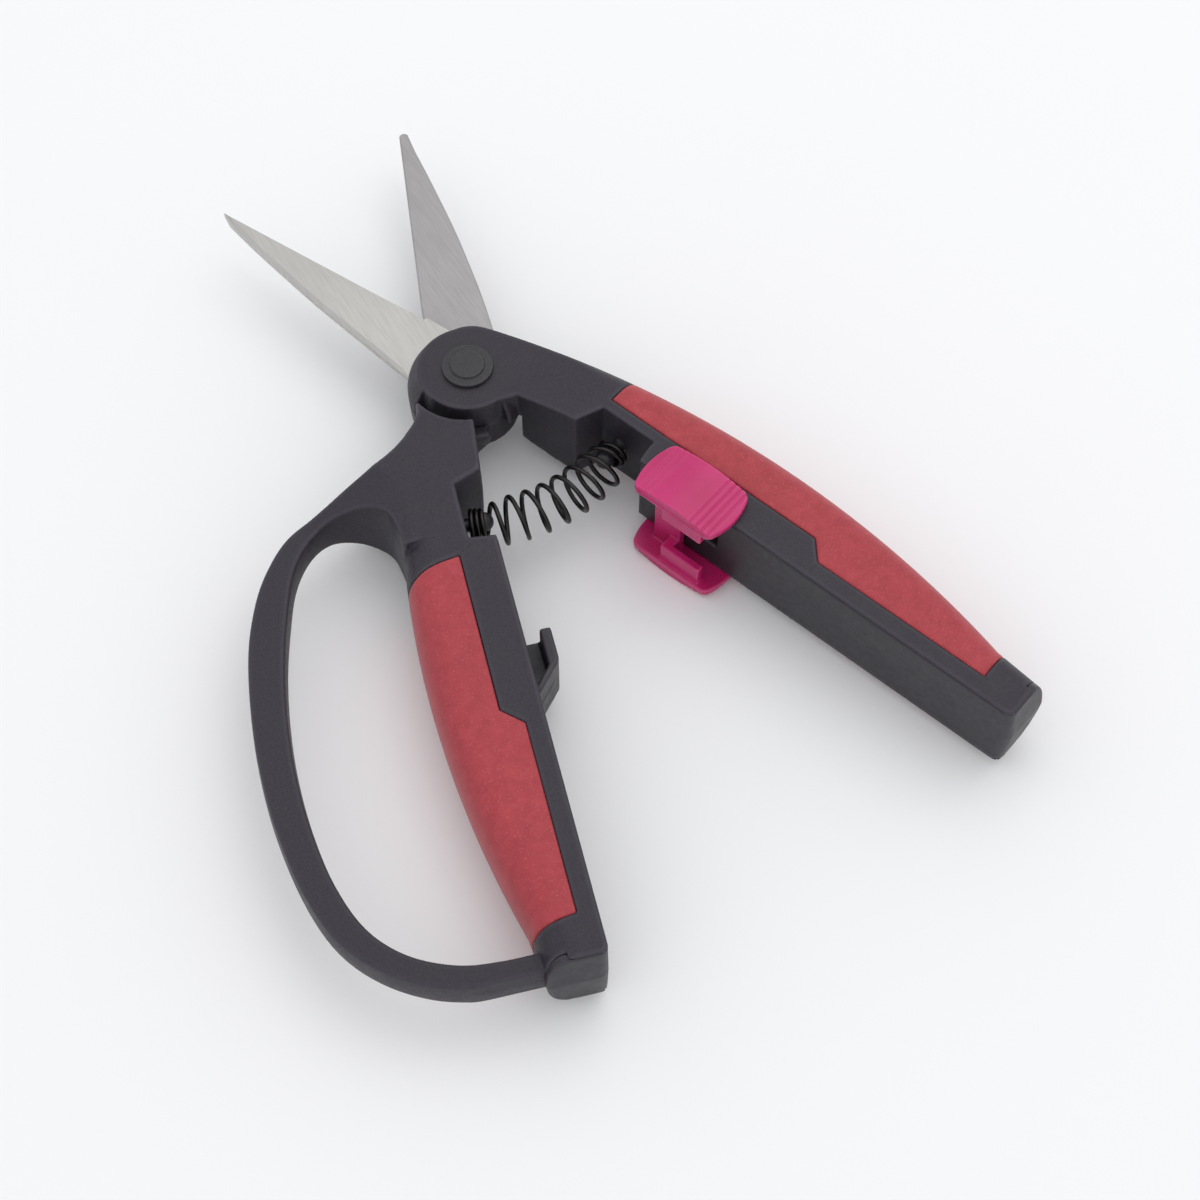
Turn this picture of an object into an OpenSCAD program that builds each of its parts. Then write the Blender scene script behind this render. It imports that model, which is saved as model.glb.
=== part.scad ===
// Spring-opened garden snips: a plain handle and a handle with a finger guard cross at a
// pivot, and a sliding lock holds them shut. Millimetres. Each half is drawn closed, with
// the pivot at its origin, the blade along +Y, the handle along -Y and z = 0 halfway
// through its thickness. plain_side() and guard_side() then place it in the open pose.

/* [Opening] */
// Angle between the two halves when open
open_angle = 36; // [30:1:36]
// How far the lock travels from unlocked to locked
lock_travel = 8; // [6:0.5:8]

/* [Handles] */
// Thickness of each handle
handle_t = 19.6; // [18:0.1:21]
// Distance from the pivot to the butt of a handle
handle_l = 138; // [136:1:142]
// Distance of a handle's inner face from the closing line
inner_x = 3.5; // [3.3:0.1:3.8]
// Furthest reach of the handle's curved back from the closing line
back_x = 24.4; // [23.8:0.2:25]
// Radius of the handle's curved back, seen from above
back_r = 226; // [220:2:240]
// Depth of the rounding at the handle's back
nose_d = 6.5; // [5:0.5:8]
// How far the butt's two faces fall back from its middle line
butt_draft = 0.8; // [0:0.1:1.5]
// Thickness of the soft grip skin
grip_t = 1.6; // [1.2:0.1:2]
// Thickness of the liner that closes the handle's inner side
liner_t = 1.8; // [1.5:0.1:2.2]

/* [Finger guard] */
// Thickness of the guard bow
guard_t = 7.4; // [6:0.2:9]

/* [Head and blades] */
// Thickness of the head at the pivot
head_t = 14.4; // [14:0.1:15]
// Radius of the round head plates where they meet
head_r = 13.2; // [12.8:0.1:13.2]
// Radius of the lap cut that lets the other head plate turn
lap_r = 13.6; // [13.5:0.1:14]
// Thickness of each blade
blade_t = 1.8; // [1.5:0.1:2]
// Gap between the two blades
blade_gap = 0.2; // [0.1:0.05:0.3]

/* [Pivot] */
// Outer radius of the steel sleeve that both halves turn on
sleeve_r = 3; // [2.6:0.1:3.4]
// Radius of the pivot bolt's shank
bolt_r = 2; // [1.8:0.1:2]
// Radial clearance of the running fits
run_fit = 0.05; // [0.02:0.01:0.1]
// Radius of the round caps over the pivot
cap_r = 5.45; // [5.2:0.05:6]

/* [Spring] */
// Diameter of the spring wire
wire_d = 1; // [0.8:0.1:1.1]
// Outer diameter of the spring's free coils
coil_d = 10.5; // [10:0.1:10.8]
// Distance of the spring's centre line from the pivot
spring_r = 35; // [34.5:0.1:35.5]
// Number of free coils
free_coils = 8; // [7:1:9]

/* [Lock] */
// How far each thumb pad stands above its handle face
pad_rise = 3; // [2.5:0.1:3.5]
// Distance between the lock and the faces it slides on
slide_gap = 0.2; // [0.15:0.05:0.3]

/* [Hidden] */
$fn = 96;

// The pivot in the part's frame, whose origin is under the middle of the bounding box
pivot_x = 15.1;
pivot_y = 29.95;
mid_z = handle_t / 2 + pad_rise;

half_t = handle_t / 2;
head_h = head_t / 2;
lap_z = blade_gap / 2;
blade_top = lap_z + blade_t;
eps = 0.01;

// Colours
black = [0.16, 0.15, 0.17];
smooth_black = [0.22, 0.21, 0.23];
red = [0.66, 0.16, 0.20];
magenta = [0.75, 0.12, 0.40];
steel = [0.74, 0.73, 0.71];
dark_steel = [0.20, 0.19, 0.19];

// ---- Placing the halves -------------------------------------------------------------

module plain_side() {
    translate([pivot_x, pivot_y, mid_z]) rotate([0, 0, open_angle / 2]) children();
}

// The guard half is the plain half turned over about its long axis
module guard_side() {
    translate([pivot_x, pivot_y, mid_z]) rotate([0, 0, -open_angle / 2])
        rotate([0, 180, 0]) children();
}

module at_pivot() {
    translate([pivot_x, pivot_y, mid_z]) children();
}

// ---- Shared drawing tools -----------------------------------------------------------

// Points on a smooth curve through the given points
function curve_point(a, b, c, d, t) =
    0.5 * (2 * b + (c - a) * t + (2 * a - 5 * b + 4 * c - d) * t * t
        + (3 * b - a - 3 * c + d) * t * t * t);
function smooth(p, steps = 4) = let (n = len(p)) [
    for (i = [0:n - 2], k = [0:steps - 1])
        curve_point(p[max(i - 1, 0)], p[i], p[i + 1], p[min(i + 2, n - 1)], k / steps),
    p[n - 1]
];

// Extrudes a plan both ways from z = 0
module slab(t) {
    linear_extrude(t, center = true) children();
}

// Extrudes a plan from z0 to z1
module layer(z0, z1) {
    translate([0, 0, z0]) linear_extrude(z1 - z0) children();
}

// Extrudes a (y, z) profile along X, centred on the closing line
module along_x(length) {
    rotate([90, 0, 90]) linear_extrude(length, center = true) children();
}

// Extrudes an (x, z) profile along Y, from y0 down by length
module along_y(y0, length) {
    translate([0, y0, 0]) rotate([90, 0, 0]) linear_extrude(length) children();
}

module ring(r_out, r_in, z0, z1) {
    difference() {
        translate([0, 0, z0]) cylinder(r = r_out, h = z1 - z0);
        translate([0, 0, z0 - 1]) cylinder(r = r_in, h = z1 - z0 + 2);
    }
}

// ---- Handle body --------------------------------------------------------------------

back_y = -69;          // where the curved back reaches furthest
body_start = -26;      // the handle body begins in the neck
butt_end = -handle_l - butt_draft;
corner_r = 2;          // of the butt's inner corner, seen from above
nose_power = 2.3;      // squareness of the rounding at the back

// The handle's D section; shrink moves every face inward
function nose(r, h, d) = [
    for (a = [-90:15:90])
        let (c = pow(abs(cos(a)), 2 / nose_power), s = pow(abs(sin(a)), 2 / nose_power))
        [r - d + d * c, h * s * sign(a)]
];

function d_section(r, h) = concat(nose(r, h, nose_d), [[r - 34, h], [r - 34, -h]]);

// Swept about a far axis as far as the butt, and straight from there
butt_bend = -127;
butt_turn = -6;
butt_step = 0.02;      // the straight end is thinner by this much on each face
butt_back = back_x - back_r + sqrt(back_r * back_r - pow(butt_bend - back_y, 2));

module swept_body(shrink) {
    translate([back_x - back_r, back_y, 0]) rotate([0, 0, -17])
        rotate_extrude(angle = 34, $fn = 360)
            polygon(d_section(back_r - shrink, half_t - shrink));
    translate([butt_back, butt_bend, 0]) rotate([0, 0, butt_turn])
        along_y(9, 24) polygon(d_section(-shrink, half_t - shrink - butt_step));
}

// Everything short of the butt, whose two faces meet in a line at mid height
module before_butt(inset = 0) {
    y = butt_end + inset;
    along_x(120) polygon([
        [60, 20],
        [60, -20],
        [y + butt_draft * 20 / half_t, -20],
        [y, 0],
        [y + butt_draft * 20 / half_t, 20]
    ]);
}

module handle_body() {
    intersection() {
        swept_body(0);
        slab(handle_t + 2) polygon(concat(
            [[inner_x, body_start], [40, body_start], [40, butt_end]],
            [for (a = [270:-15:180])
                [inner_x + corner_r, butt_end + corner_r] + corner_r * [cos(a), sin(a)]]
        ));
        before_butt();
    }
}

// The soft grip: the outer skin of the handle body, seen from above outside this edge
grip_end = -128.7;
wide_x = 12;           // the grip's inner edge near the head
narrow_x = 7.7;        // and near the butt, after a slanted step
step_y = -83.7;

module grip_plan(start_y) {
    polygon([
        [wide_x, start_y],
        [wide_x, step_y],
        [narrow_x, step_y - 3.9],
        [narrow_x, grip_end],
        [40, grip_end],
        [40, start_y]
    ]);
}

module grip_skin(start_y) {
    difference() {
        intersection() {
            swept_body(0);
            slab(handle_t + 2) grip_plan(start_y);
        }
        swept_body(grip_t);
    }
}

// The liner: a panel down the inner side that turns across the butt
liner_start = -44.6;
lip = 0.7;             // the core laps over the liner by this much at top and bottom

module liner_panel() {
    difference() {
        intersection() {
            handle_body();
            slab(handle_t - 2 * lip) polygon([
                [0, liner_start],
                [40, liner_start],
                [40, -150],
                [0, -150]
            ]);
        }
        intersection() {
            translate([inner_x + liner_t, -200, -20]) cube([60, 240, 40]);
            before_butt(liner_t);
        }
    }
}

// ---- Head ---------------------------------------------------------------------------

neck_top = [1.4, -12.9];   // the neck's inner face runs between these two
neck_end = [3, -27.4];
ramp_top = -10;        // the handle thickens between these two
ramp_end = -26;

plate_r = 10.7;        // radius of a head plate's outer face

// A round plate with a sloped wall, on the upper side of the blades. Where it faces the
// other half's shoulder the wall is stepped in.
module head_plate() {
    difference() {
        rotate_extrude() polygon([
            [0, lap_z],
            [head_r, lap_z],
            [head_r, 2.4],
            [plate_r, head_h],
            [0, head_h]
        ]);
        linear_extrude(20) difference() {
            polygon([[0, 0], 30 * [cos(161), sin(161)], [-30, -30], 30 * [cos(262), sin(262)]]);
            circle(r = plate_r);
        }
    }
}

// Keeps the head thinner than the handle
module thickness_profile() {
    along_x(140) polygon([
        [20, head_h],
        [ramp_top, head_h],
        [ramp_end, half_t],
        [-150, half_t],
        [-150, -half_t],
        [ramp_end, -half_t],
        [ramp_top, -head_h],
        [20, -head_h]
    ]);
}

// Room for the other half's head plate, on the lower side
module lap_cut() {
    translate([0, 0, -20]) cylinder(r = lap_r, h = 20 + lap_z);
}

// The open pocket that the spring sits in
pocket_x = 9.35;
pocket_y = -43.5;

module pocket_plan() {
    polygon([
        [-6, neck_end.y],
        neck_end,
        [pocket_x, -30],
        [pocket_x, pocket_y],
        [inner_x, pocket_y - 0.7],
        [-6, pocket_y - 0.7]
    ]);
}

module plain_neck_plan() {
    polygon(concat(
        smooth([[3.5, 10.1], [8.4, 7.6], [11.8, 2.2], [13.9, -4], [15.7, -10.5], [17.2, -17],
            [18.5, -23], [19.6, -28.5], [21, -36]]),
        [[inner_x, -45], [inner_x, -42], neck_end, neck_top, [-2.2, -10.5], [0, 0]]
    ));
}

// Holes common to both head plates: the pivot, and the cap's socket over it
socket_r = 5;
socket_z = head_h - 1.8;

module pivot_holes(bore_r) {
    translate([0, 0, -20]) cylinder(r = bore_r, h = 40);
    translate([0, 0, socket_z]) cylinder(r = socket_r, h = 10);
}

// ---- Blades -------------------------------------------------------------------------

eye_r = 8.6;
pin_r = 1.5;
pin_spots = [[7.5, -16.5], [9.5, -22.5]];

// The hidden end of a blade: past the pivot eye and down to the pins
tang = concat(
    [[8.6, 0], [12.4, -12], [13.6, -24.8], [5.6, -24.8], [3, -14]],
    [for (a = [280:-10:190]) eye_r * [cos(a), sin(a)]]
);

// Seen from above in the plain half's frame: the spine is on the left, the edge on the right
module upper_blade_plan() {
    polygon(concat(
        smooth([[-7.3, 7], [-7.1, 14], [-6.5, 22], [-5.9, 31], [-5.1, 41], [-4, 51],
            [-2.7, 61.5], [-1.4, 71.3]]),
        [[0, 73.5], [6.5, 19], [7.4, 18.6], [8.3, 8]],
        tang
    ));
}

// The lower blade in the same sense: it is a little broader and its tip is round
module lower_blade_plan() {
    polygon(concat(
        smooth([[-8.5, 7], [-8.5, 15], [-8.2, 23], [-7.6, 31], [-6.4, 43], [-4.2, 58],
            [-2.4, 68.5]]),
        [for (a = [190:-20:10]) [-0.8, 73.3] + 1.05 * [cos(a), sin(a)]],
        [[5.5, 24], [5.8, 20], [7.6, 18.2], [8.3, 8]],
        tang
    ));
}

module blade(bore_r) {
    difference() {
        layer(lap_z, blade_top) children();
        translate([0, 0, -5]) cylinder(r = bore_r, h = 10);
        for (p = pin_spots)
            translate([p.x, p.y, -5]) cylinder(r = pin_r, h = 10);
    }
}

module blade_pins() {
    for (p = pin_spots)
        translate([p.x, p.y, -pin_h / 2]) cylinder(r = pin_r, h = pin_h);
}

pin_h = 10;

// ---- Spring post --------------------------------------------------------------------

post_y = -34.4;
post_r = 1.4;
ball_r = 2.1;
ball_x = 4.5;
post_root = 2.4;       // how deep the post stands in the handle

module spring_post() {
    neck = asin(post_r / ball_r);
    translate([0, post_y, 0]) rotate([0, 90, 0]) rotate_extrude() polygon(concat(
        [for (i = [0:12])
            let (a = 180 - i * (180 - neck) / 12)
            [ball_r * sin(a), ball_x + ball_r * cos(a)]],
        [[post_r, pocket_x + post_root], [0, pocket_x + post_root]]
    ));
}

module post_hole() {
    translate([pocket_x - 1, post_y, 0]) rotate([0, 90, 0])
        cylinder(r = post_r, h = post_root + 1);
}

// ---- Plain handle -------------------------------------------------------------------

plain_grip_start = -30;

// The lock's key runs in a slot in the liner and a wider cavity behind it
key_start = -50.5;
key_l = 6.7;
key_neck = 2;          // half height of the key in the liner's slot
key_head = 3.4;        // half height of its head in the cavity
key_end_x = 7.2;
key_reach = key_l + lock_travel + slide_gap;

module plain_handle_core() {
    color(black) plain_side() difference() {
        intersection() {
            union() {
                handle_body();
                head_plate();
                difference() {
                    intersection() {
                        slab(handle_t + 2) plain_neck_plan();
                        swept_body(0);
                    }
                    lap_cut();
                }
            }
            thickness_profile();
        }
        grip_skin(plain_grip_start);
        liner_panel();
        slab(handle_t + 2) pocket_plan();
        pivot_holes(sleeve_r + run_fit);
        layer(lap_z, blade_top) upper_blade_plan();
        blade_pins();
        post_hole();
        translate([inner_x, key_start - key_reach, -key_head - slide_gap])
            cube([key_end_x - inner_x + 0.4, key_reach + slide_gap,
                2 * (key_head + slide_gap)]);
    }
}

module plain_handle_liner() {
    color(smooth_black) plain_side() difference() {
        liner_panel();
        translate([0, key_start - key_reach, -key_neck - slide_gap])
            cube([20, key_reach + slide_gap, 2 * (key_neck + slide_gap)]);
    }
}

module plain_handle_grip() {
    color(red) plain_side() grip_skin(plain_grip_start);
}

module plain_spring_post() {
    color(dark_steel) plain_side() spring_post();
}

// ---- Guard handle -------------------------------------------------------------------

guard_grip_start = -47.6;
guard_h = guard_t / 2;

// The outside of the neck and guard, from the shoulder round to the butt
guard_outside = [[12.7, -8.1], [14.9, -11.6], [19.4, -16.6], [24.9, -20.5], [32, -23.6],
    [38.8, -26.9], [45.2, -30.8], [50.2, -36.8], [54.2, -44.4], [57.6, -55.5], [59.5, -69.8],
    [60, -84], [59, -97.5], [56.3, -111], [52.1, -121.3], [45.5, -129], [37, -134.4],
    [28, -137.1], [20, -137.9], [12, -138]];
// The inside of the finger loop, from the neck round to the butt
loop_inside = [[22.6, -42], [23.1, -37.8], [24.2, -33.3], [27.3, -30.6], [31.2, -29.4],
    [36.3, -30], [41.3, -33.8], [45.3, -40.3], [48.3, -50.2], [50.7, -60.8], [52.3, -73],
    [52.8, -85], [52.1, -97.4], [50, -109.5], [46, -119.8], [39.6, -126.8], [31, -131],
    [22.5, -132.2], [14, -132.2]];

module guard_plan() {
    difference() {
        polygon(concat(
            [[0, 0], [head_r, 0], [12.8, -4.5]],
            smooth(guard_outside),
            [[inner_x + 4, -100], [inner_x, -46], [inner_x, -42], neck_end, neck_top,
                [-2.2, -10.5]]
        ));
        polygon(concat(smooth(loop_inside), [[14, -42]]));
    }
}

// The neck is as thick as the handle and thins out into the guard bow
neck_flat = 20;
bow_start = 42;

module bow_profile() {
    polygon([
        [-10, half_t],
        [neck_flat, half_t],
        [bow_start, guard_h],
        [70, guard_h],
        [70, -guard_h],
        [bow_start, -guard_h],
        [neck_flat, -half_t],
        [-10, -half_t]
    ]);
}

module guard_handle_core() {
    color(black) guard_side() difference() {
        intersection() {
            union() {
                handle_body();
                head_plate();
                difference() {
                    intersection() {
                        slab(handle_t) guard_plan();
                        along_y(0, 48) bow_profile();
                    }
                    lap_cut();
                }
                intersection() {
                    slab(guard_t) guard_plan();
                    translate([10, -150, -10]) cube([60, 125, 20]);
                }
            }
            thickness_profile();
        }
        grip_skin(guard_grip_start);
        liner_panel();
        slab(handle_t + 2) pocket_plan();
        pivot_holes(sleeve_r);
        layer(lap_z, blade_top) lower_blade_plan();
        blade_pins();
        post_hole();
    }
}

// The lock's catch: a bar held off the liner by a thin web, and by a slanted wall at its
// butt end
catch_start = -65.8;
catch_bend = -73.5;
bar_in = -2.4;
bar_out = 0;
bar_h = 12.4;
web_h = 1.8;
wall_slope = 1.2;      // the wall's reach towards the butt for each step towards the liner
wall_t = 2;            // its thickness along the handle

function wall_y(x) = catch_bend - (x - bar_in) * wall_slope;

module catch() {
    end_x = inner_x + eps;
    slab(bar_h) polygon([
        [bar_in, catch_start],
        [bar_out, catch_start],
        [bar_out, wall_y(bar_out) + wall_t],
        [end_x, wall_y(end_x) + wall_t],
        [end_x, wall_y(end_x)],
        [bar_in, catch_bend]
    ]);
    slab(web_h) polygon([
        [bar_out - eps, catch_start],
        [end_x, catch_start],
        [end_x, wall_y(end_x) + eps],
        [bar_out - eps, wall_y(bar_out) + eps]
    ]);
}

module guard_handle_liner() {
    color(smooth_black) guard_side() {
        liner_panel();
        catch();
    }
}

module guard_handle_grip() {
    color(red) guard_side() difference() {
        grip_skin(guard_grip_start);
        slab(guard_t) guard_plan();
    }
}

module guard_spring_post() {
    color(dark_steel) guard_side() spring_post();
}

// ---- Blades and pins ----------------------------------------------------------------

module upper_blade() {
    color(steel) plain_side() blade(sleeve_r + run_fit) upper_blade_plan();
}

module upper_blade_pins() {
    color(steel) plain_side() blade_pins();
}

module lower_blade() {
    color(steel) guard_side() blade(sleeve_r) lower_blade_plan();
}

module lower_blade_pins() {
    color(steel) guard_side() blade_pins();
}

// ---- Pivot hardware -----------------------------------------------------------------

sleeve_half = socket_z + run_fit;
head_disc_r = 4.4;     // radius of the bolt head and the washer
washer_t = 0.3;
nut_t = 1.3;
nut_af = 7;            // across the nut's flats

module pivot_sleeve() {
    color(steel) at_pivot() ring(sleeve_r, bolt_r + run_fit, -socket_z, sleeve_half);
}

module pivot_bolt() {
    color(steel) at_pivot() {
        translate([0, 0, -socket_z - 1.3]) cylinder(r = head_disc_r, h = 1.3);
        translate([0, 0, -socket_z - 0.5]) cylinder(r = bolt_r, h = 2 * socket_z + 2.1);
    }
}

module pivot_washer() {
    color(steel) at_pivot()
        ring(head_disc_r, bolt_r + run_fit, sleeve_half, sleeve_half + washer_t);
}

module pivot_nut() {
    color(dark_steel) at_pivot() difference() {
        translate([0, 0, sleeve_half + washer_t])
            cylinder(r = nut_af / sqrt(3), h = nut_t, $fn = 6);
        cylinder(r = bolt_r, h = 20);
    }
}

// A stepped cap with a skirt that presses into the socket; drawn standing on z = 0
cap_t = 0.9;
button_r = 3.6;
button_t = 0.6;
skirt_t = 0.4;
skirt_l = 1.2;

module pivot_cap() {
    cylinder(r = cap_r, h = cap_t);
    cylinder(r = button_r, h = cap_t + button_t);
    ring(socket_r, socket_r - skirt_t, -skirt_l, eps);
}

module pivot_cap_upper() {
    color(black) plain_side() translate([0, 0, head_h]) pivot_cap();
}

module pivot_cap_lower() {
    color(black) guard_side() translate([0, 0, head_h]) pivot_cap();
}

// ---- Lock ---------------------------------------------------------------------------

pad_x0 = -3;
pad_x1 = 10.6;
pad_y0 = -46.6;
pad_l = 22.6;
pad_edge = 1.3;        // thickness of a pad at its two ends
pad_crown = -57.9;     // the pad rises to a low ridge across its middle
web_x = 1.4;           // front face of the web that joins the pads
tab_x0 = -2.1;
tab_x1 = -0.4;
tab_start = -55;
tab_end = -65.1;
tab_z = 5.2;           // the tabs reach this close to the middle plane
rib_w = 0.4;
rib_d = 0.35;
ribs = [-49.4, -50.9, -52.4, -62.8, -64.3, -65.8, -67.3];

// Seen from above: a rectangle whose two ends bow outward
module pad_plan() {
    mid_x = (pad_x0 + pad_x1) / 2;
    w = pad_x1 - pad_x0;
    bow_r = 15;
    intersection() {
        translate([pad_x0, pad_y0 - pad_l]) square([w, pad_l]);
        translate([mid_x, pad_y0 - bow_r]) circle(r = bow_r);
        translate([mid_x, pad_y0 - pad_l + bow_r]) circle(r = bow_r);
    }
}

module thumb_pad() {
    z0 = half_t + slide_gap;
    top = half_t + pad_rise;
    difference() {
        intersection() {
            layer(z0, top) pad_plan();
            along_x(40) polygon([
                [pad_y0, z0 - 1],
                [pad_y0, z0 + pad_edge],
                [pad_crown, top],
                [pad_y0 - pad_l, z0 + pad_edge],
                [pad_y0 - pad_l, z0 - 1]
            ]);
        }
        for (y = ribs)
            let (s = abs(y - pad_crown) / (pad_l / 2))
            translate([pad_x0 - 1, y - rib_w / 2, top - s * (top - z0 - pad_edge) - rib_d])
                cube([pad_x1 - pad_x0 + 2, rib_w, 2]);
    }
}

module lock_half() {
    thumb_pad();
    h = half_t + slide_gap - tab_z + eps;
    translate([tab_x0, tab_end, tab_z]) cube([tab_x1 - tab_x0, tab_start - tab_end, h]);
    translate([tab_x0, key_start - key_l, tab_z])
        cube([web_x + 1 - tab_x0, tab_start - key_start + key_l, h]);
}

module lock_slide() {
    web_h = 2 * (half_t + slide_gap) + 2 * eps;
    color(magenta) plain_side() union() {
        lock_half();
        mirror([0, 0, 1]) lock_half();
        translate([web_x, key_start - key_l, -web_h / 2])
            cube([inner_x - slide_gap - web_x, key_l, web_h]);
        translate([web_x, key_start - key_l, -key_neck])
            cube([key_end_x - web_x, key_l, 2 * key_neck]);
        translate([inner_x + liner_t + slide_gap, key_start - key_l, -key_head])
            cube([key_end_x - inner_x - liner_t - slide_gap, key_l, 2 * key_head]);
    }
}

// ---- Return spring ------------------------------------------------------------------

// Its centre line is an arc about the pivot. Each end winds down to a few close coils
// that sit on the posts.
end_coils = 2.5;
end_pitch = 1.05;
end_r = 3;
end_angle = 31;        // from the middle of the spring to its last coil
flare = 4.6;           // length over which the coil opens out
per_turn = 12;
wire_sides = 6;

arc_l = spring_r * end_angle * PI / 90;
coils = free_coils + 2 * end_coils;
free_pitch = (arc_l - 2 * end_coils * end_pitch) / free_coils;

// Distance along the arc after t turns, and the coil's radius there
function run(t) =
    t < end_coils ? t * end_pitch
    : t < coils - end_coils ? end_coils * end_pitch + (t - end_coils) * free_pitch
    : arc_l - (coils - t) * end_pitch;
function coil_r(s) =
    let (d = min(s, arc_l - s) - end_coils * end_pitch, k = max(0, min(1, d / flare)))
    end_r + ((coil_d - wire_d) / 2 - end_r) * (3 * k * k - 2 * k * k * k);
function wire_at(t) =
    let (s = run(t), a = -end_angle + s * 180 / (PI * spring_r), r = coil_r(s))
    [
        (spring_r + r * cos(360 * t)) * sin(a),
        -(spring_r + r * cos(360 * t)) * cos(a),
        -r * sin(360 * t)
    ];
function unit(v) = v / norm(v);

module return_spring() {
    n = coils * per_turn;
    rings = [for (i = [0:n])
        let (
            t = i / per_turn,
            p = wire_at(t),
            along = unit(wire_at(t + 0.01) - wire_at(t - 0.01)),
            up = unit(cross(along, [0, 0, 1])),
            side = cross(along, up)
        )
        [for (k = [0:wire_sides - 1])
            p + wire_d / 2 * (cos(360 * k / wire_sides) * up + sin(360 * k / wire_sides) * side)]
    ];
    points = [for (r = rings) each r];
    walls = [for (i = [0:n - 1], k = [0:wire_sides - 1])
        let (j = (k + 1) % wire_sides, a = i * wire_sides)
        each [[a + k, a + j, a + wire_sides + j], [a + k, a + wire_sides + j, a + wire_sides + k]]
    ];
    ends = [
        [for (k = [wire_sides - 1:-1:0]) k],
        [for (k = [0:wire_sides - 1]) n * wire_sides + k]
    ];
    color(dark_steel) at_pivot() polyhedron(points, concat(walls, ends));
}

// ---- Drawing ------------------------------------------------------------------------

guard_handle_core();
guard_handle_liner();
guard_handle_grip();
guard_spring_post();
lower_blade();
lower_blade_pins();
pivot_sleeve();
pivot_bolt();
pivot_washer();
pivot_nut();
pivot_cap_lower();
plain_handle_core();
plain_handle_liner();
plain_handle_grip();
plain_spring_post();
upper_blade();
upper_blade_pins();
pivot_cap_upper();
lock_slide();
return_spring();
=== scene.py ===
import math

import bmesh
import bpy
import numpy as np
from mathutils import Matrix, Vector


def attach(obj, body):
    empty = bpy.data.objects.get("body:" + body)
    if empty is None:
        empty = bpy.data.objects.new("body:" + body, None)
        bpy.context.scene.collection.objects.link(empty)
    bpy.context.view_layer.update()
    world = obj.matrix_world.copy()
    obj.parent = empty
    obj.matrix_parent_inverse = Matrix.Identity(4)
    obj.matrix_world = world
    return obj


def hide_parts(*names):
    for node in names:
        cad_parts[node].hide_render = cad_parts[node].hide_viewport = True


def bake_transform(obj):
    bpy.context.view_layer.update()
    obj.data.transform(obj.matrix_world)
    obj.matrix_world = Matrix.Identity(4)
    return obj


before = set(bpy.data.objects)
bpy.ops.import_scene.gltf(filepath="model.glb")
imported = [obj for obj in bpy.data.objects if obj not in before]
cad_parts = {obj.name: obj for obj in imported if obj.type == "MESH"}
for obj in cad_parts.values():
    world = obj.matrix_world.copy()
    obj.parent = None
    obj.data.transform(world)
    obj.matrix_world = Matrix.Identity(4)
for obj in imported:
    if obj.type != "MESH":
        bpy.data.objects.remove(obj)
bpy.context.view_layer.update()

# Garden snips. All shapes are worked out in millimetres in the closed frame of their own
# half: pivot at the origin, x away from the closing line, y along the blade, z up from
# the middle plane. place() turns each half to its open angle and into the row frame.

PIVOT = (15.1, 29.95, 12.8)
HALF_ANGLE = math.radians(18)
MM = 0.001
HALF_T = 9.8


# ---- Camera -------------------------------------------------------------------------

camera = bpy.data.objects.new("camera", bpy.data.cameras.new("camera"))
bpy.context.scene.collection.objects.link(camera)
camera.data.lens = 74.28
camera.data.sensor_width = 36
camera.data.clip_start = 0.01
camera.location = Vector((-127.96, -251.9, 445.78)) * MM
aim = Vector((13.798, -25.291, 3.0)) * MM
camera.rotation_mode = "QUATERNION"
camera.rotation_quaternion = (aim - camera.location).to_track_quat("-Z", "Y")
bpy.context.scene.camera = camera


# ---- Distance fields ----------------------------------------------------------------

def round_and(a, b, r):
    """Where both fields are inside, with convex edges of radius r."""
    if np.ndim(r) == 0 and r <= 0:
        return np.maximum(a, b)
    return np.minimum(np.maximum(a, b), -r) + np.hypot(np.maximum(a + r, 0), np.maximum(b + r, 0))


def round_or(a, b, r):
    """Where either field is inside, with concave corners of radius r."""
    if np.ndim(r) == 0 and r <= 0:
        return np.minimum(a, b)
    return np.maximum(np.minimum(a, b), r) - np.hypot(np.maximum(r - a, 0), np.maximum(r - b, 0))


def cut(a, b, r):
    return round_and(a, -b, r)


def ramp(t):
    """0 below 0, 1 above 1, smooth between."""
    t = np.clip(t, 0, 1)
    return t * t * (3 - 2 * t)


def smooth(points, steps=5):
    """Points on a smooth curve through the given points."""
    p = np.array(points, float)
    out = []
    for i in range(len(p) - 1):
        a, b, c, d = p[max(i - 1, 0)], p[i], p[i + 1], p[min(i + 2, len(p) - 1)]
        for k in range(steps):
            t = k / steps
            out.append(0.5 * (2 * b + (c - a) * t + (2 * a - 5 * b + 4 * c - d) * t * t
                              + (3 * b - a - 3 * c + d) * t ** 3))
    out.append(p[-1])
    return [tuple(q) for q in out]


def polygon(points, x, y):
    """Signed distance to a closed outline; x and y broadcast."""
    x, y = np.broadcast_arrays(x, y)
    best = np.full(x.shape, 1e9)
    inside = np.zeros(x.shape, bool)
    for (ax, ay), (bx, by) in zip(points, points[1:] + points[:1]):
        dx, dy = bx - ax, by - ay
        length = dx * dx + dy * dy
        if length < 1e-12:
            continue
        t = np.clip(((x - ax) * dx + (y - ay) * dy) / length, 0, 1)
        best = np.minimum(best, (x - ax - t * dx) ** 2 + (y - ay - t * dy) ** 2)
        if ay != by:
            inside ^= ((ay > y) != (by > y)) & (x < (y - ay) * dx / dy + ax)
    return np.where(inside, -1, 1) * np.sqrt(best)


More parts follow.
